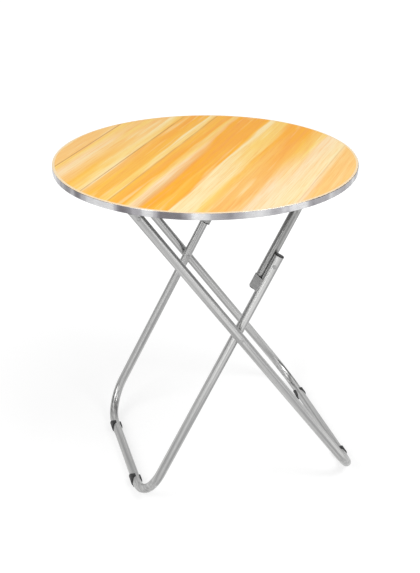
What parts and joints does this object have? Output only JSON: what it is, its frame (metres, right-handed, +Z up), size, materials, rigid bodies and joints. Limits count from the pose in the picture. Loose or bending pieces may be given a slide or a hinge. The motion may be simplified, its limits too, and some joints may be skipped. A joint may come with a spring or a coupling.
{
  "type": "round folding table",
  "caption": "Round wood-effect table top with a bright metal edge on crossed bent-tube legs that fold flat under it, locked open by a clipped stay.",
  "frame": {"origin": "on the floor under the middle of the round top", "axes": "+Z up through the top, +X from the inner legs' foot bar to the outer legs' foot bar, Y along the foot bars"},
  "size_m": [0.6, 0.6, 0.67],
  "materials": {
    "wood_effect_board": "plank print under clear satin laminate",
    "bright_trim": "bright rolled strip",
    "leg_tube": "satin galvanised",
    "zinc_hardware": "dull zinc plate",
    "black_plastic": "moulded, fine grain"
  },
  "bodies": {
    "tabletop": {"tabletop_board": "wood_effect_board", "edge_band": "bright_trim", "hinge_bracket_near": "zinc_hardware", "hinge_bracket_far": "zinc_hardware", "hinge_pin_near": "zinc_hardware", "hinge_pin_far": "zinc_hardware", "hinge_bracket_screws": "zinc_hardware", "stay_saddle_near": "zinc_hardware", "stay_saddle_far": "zinc_hardware", "stay_saddle_screws": "zinc_hardware"},
    "outer_legs": {"outer_leg_frame": "leg_tube", "cross_rivet_near": "zinc_hardware", "cross_rivet_far": "zinc_hardware", "cross_spacer_near": "zinc_hardware", "cross_spacer_far": "zinc_hardware", "outer_foot_near": "black_plastic", "outer_foot_far": "black_plastic"},
    "inner_legs": {"inner_leg_frame": "leg_tube", "inner_leg_plug_near": "black_plastic", "inner_leg_plug_far": "black_plastic", "inner_foot_near": "black_plastic", "inner_foot_far": "black_plastic", "knee_rivet_near": "zinc_hardware", "knee_rivet_far": "zinc_hardware", "knee_washer_near": "zinc_hardware", "knee_washer_far": "zinc_hardware"},
    "support_stay": {"support_stay_frame": "leg_tube", "stay_plug_near": "black_plastic", "stay_plug_far": "black_plastic", "lock_clip_near": "zinc_hardware", "lock_clip_far": "zinc_hardware", "knee_rivet_tail_near": "zinc_hardware", "knee_rivet_tail_far": "zinc_hardware"}
  },
  "joints": [
    {"name": "leg_fold", "type": "hinge", "parent": "tabletop", "child": "outer_legs", "pos_m": [-0.18302, 0, 0.6463], "axis": [0, -1, 0], "range_deg": [0, 52]},
    {"name": "leg_cross", "type": "hinge", "parent": "outer_legs", "child": "inner_legs", "pos_m": [0.00961, 0, 0.37659], "axis": [0, -1, 0], "range_deg": [0, 64.13]},
    {"name": "stay_swing", "type": "hinge", "parent": "tabletop", "child": "support_stay", "pos_m": [0.148, 0, 0.6475], "axis": [0, 1, 0], "range_deg": [0, 58.41]}
  ],
  "couplings": [
    {"joint": "leg_cross", "follows": "leg_fold", "ratio": 1.233},
    {"joint": "stay_swing", "follows": "leg_fold", "ratio": 1.1231}
  ]
}
